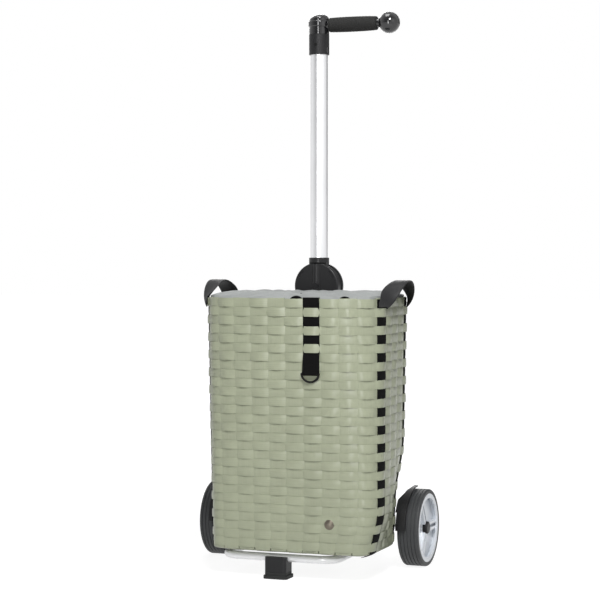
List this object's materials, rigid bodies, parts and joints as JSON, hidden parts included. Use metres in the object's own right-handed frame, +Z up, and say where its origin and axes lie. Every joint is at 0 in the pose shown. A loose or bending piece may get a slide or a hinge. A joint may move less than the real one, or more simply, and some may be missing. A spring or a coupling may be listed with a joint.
{
  "type": "shopping trolley basket",
  "caption": "Woven strap basket with a cloth liner on a wheeled frame with a folding pole, a swivelling side grip and a front foot.",
  "frame": {"origin": "middle of the footprint, on the floor", "axes": "+Z up, -Y towards the basket's front, +X to the side of the grip"},
  "size_m": [0.456, 0.3376, 1.0863],
  "materials": {
    "anodised": "satin anodised",
    "bright_tube": "bright plated",
    "steel": "plain steel",
    "black_plastic": "fine moulded grain",
    "joint_plastic": "satin moulded",
    "gloss_black": "polished",
    "foam": "soft closed-cell foam",
    "sole_rubber": "matt",
    "tyre_rubber": "ribbed tread",
    "wheel_silver": "silver moulded",
    "sage_strap": "flat extruded strap",
    "black_webbing": "flat woven webbing",
    "black_band": "smooth band",
    "grey_cloth": "coated lining cloth",
    "antique_metal": "dark antique",
    "black_wire": "black coated wire"
  },
  "bodies": {
    "frame": {"lower_pole": "anodised", "base_loop": "bright_tube", "axle": "steel", "bracket_bolt": "steel", "pivot_sleeve": "steel", "button_spring": "steel", "socket_screws": "steel", "pole_bracket": "black_plastic", "loop_clamps": "black_plastic", "foot_block": "black_plastic", "guard_left": "black_plastic", "guard_right": "black_plastic", "axle_caps": "black_plastic", "joint_front_cheek": "joint_plastic", "joint_rear_cheek": "joint_plastic", "foot_sole": "sole_rubber", "stakes_green": "sage_strap", "weavers_even": "sage_strap", "weavers_odd": "sage_strap", "rim_band": "sage_strap", "base_board": "sage_strap", "front_webbing": "black_webbing", "side_webbing_left": "black_webbing", "side_webbing_right": "black_webbing", "pole_ties": "black_webbing", "drawstring_hem": "black_webbing", "loop_handle_left": "black_band", "loop_handle_right": "black_band", "liner": "grey_cloth", "stud": "antique_metal"},
    "upper": {"joint_knuckle": "joint_plastic", "upper_pole": "anodised", "pole_sleeve": "black_plastic", "sleeve_screw": "black_wire", "swivel_pin": "steel"},
    "handle": {"swivel_hub": "gloss_black", "hub_cap": "gloss_black", "grip_rod": "steel", "foam_grip": "foam", "grip_ring": "gloss_black", "ball_knob": "gloss_black"},
    "wheel_left": {"wheel_core_left": "wheel_silver", "tyre_left": "tyre_rubber", "bushes_left": "black_plastic"},
    "wheel_right": {"wheel_core_right": "wheel_silver", "tyre_right": "tyre_rubber", "bushes_right": "black_plastic"},
    "d_ring": {"d_ring": "black_wire"},
    "release_button": {"release_button": "black_plastic"}
  },
  "joints": [
    {"name": "wheel_left_spin", "type": "hinge", "parent": "frame", "child": "wheel_left", "pos_m": [-0.207, 0.09378, 0.075], "axis": [1, 0, 0], "continuous": true},
    {"name": "wheel_right_spin", "type": "hinge", "parent": "frame", "child": "wheel_right", "pos_m": [0.207, 0.09378, 0.075], "axis": [1, 0, 0], "continuous": true},
    {"name": "pole_fold", "type": "hinge", "parent": "frame", "child": "upper", "pos_m": [0, 0.09378, 0.546], "axis": [0, -1, 0], "range_deg": [0, 140]},
    {"name": "handle_swivel", "type": "hinge", "parent": "upper", "child": "handle", "pos_m": [0, 0.09378, 1.05], "axis": [0, 0, 1], "range_deg": [-90, 90]},
    {"name": "d_ring_swing", "type": "hinge", "parent": "frame", "child": "d_ring", "pos_m": [0.07671, -0.16569, 0.38787], "axis": [0.9999, 0.0159, 0], "range_deg": [-150, 0]},
    {"name": "button_press", "type": "slide", "parent": "frame", "child": "release_button", "axis": [0, 1, 0], "range_m": [0, 0.003], "stiffness_N_per_m": 1500, "springref_m": -0.002}
  ]
}
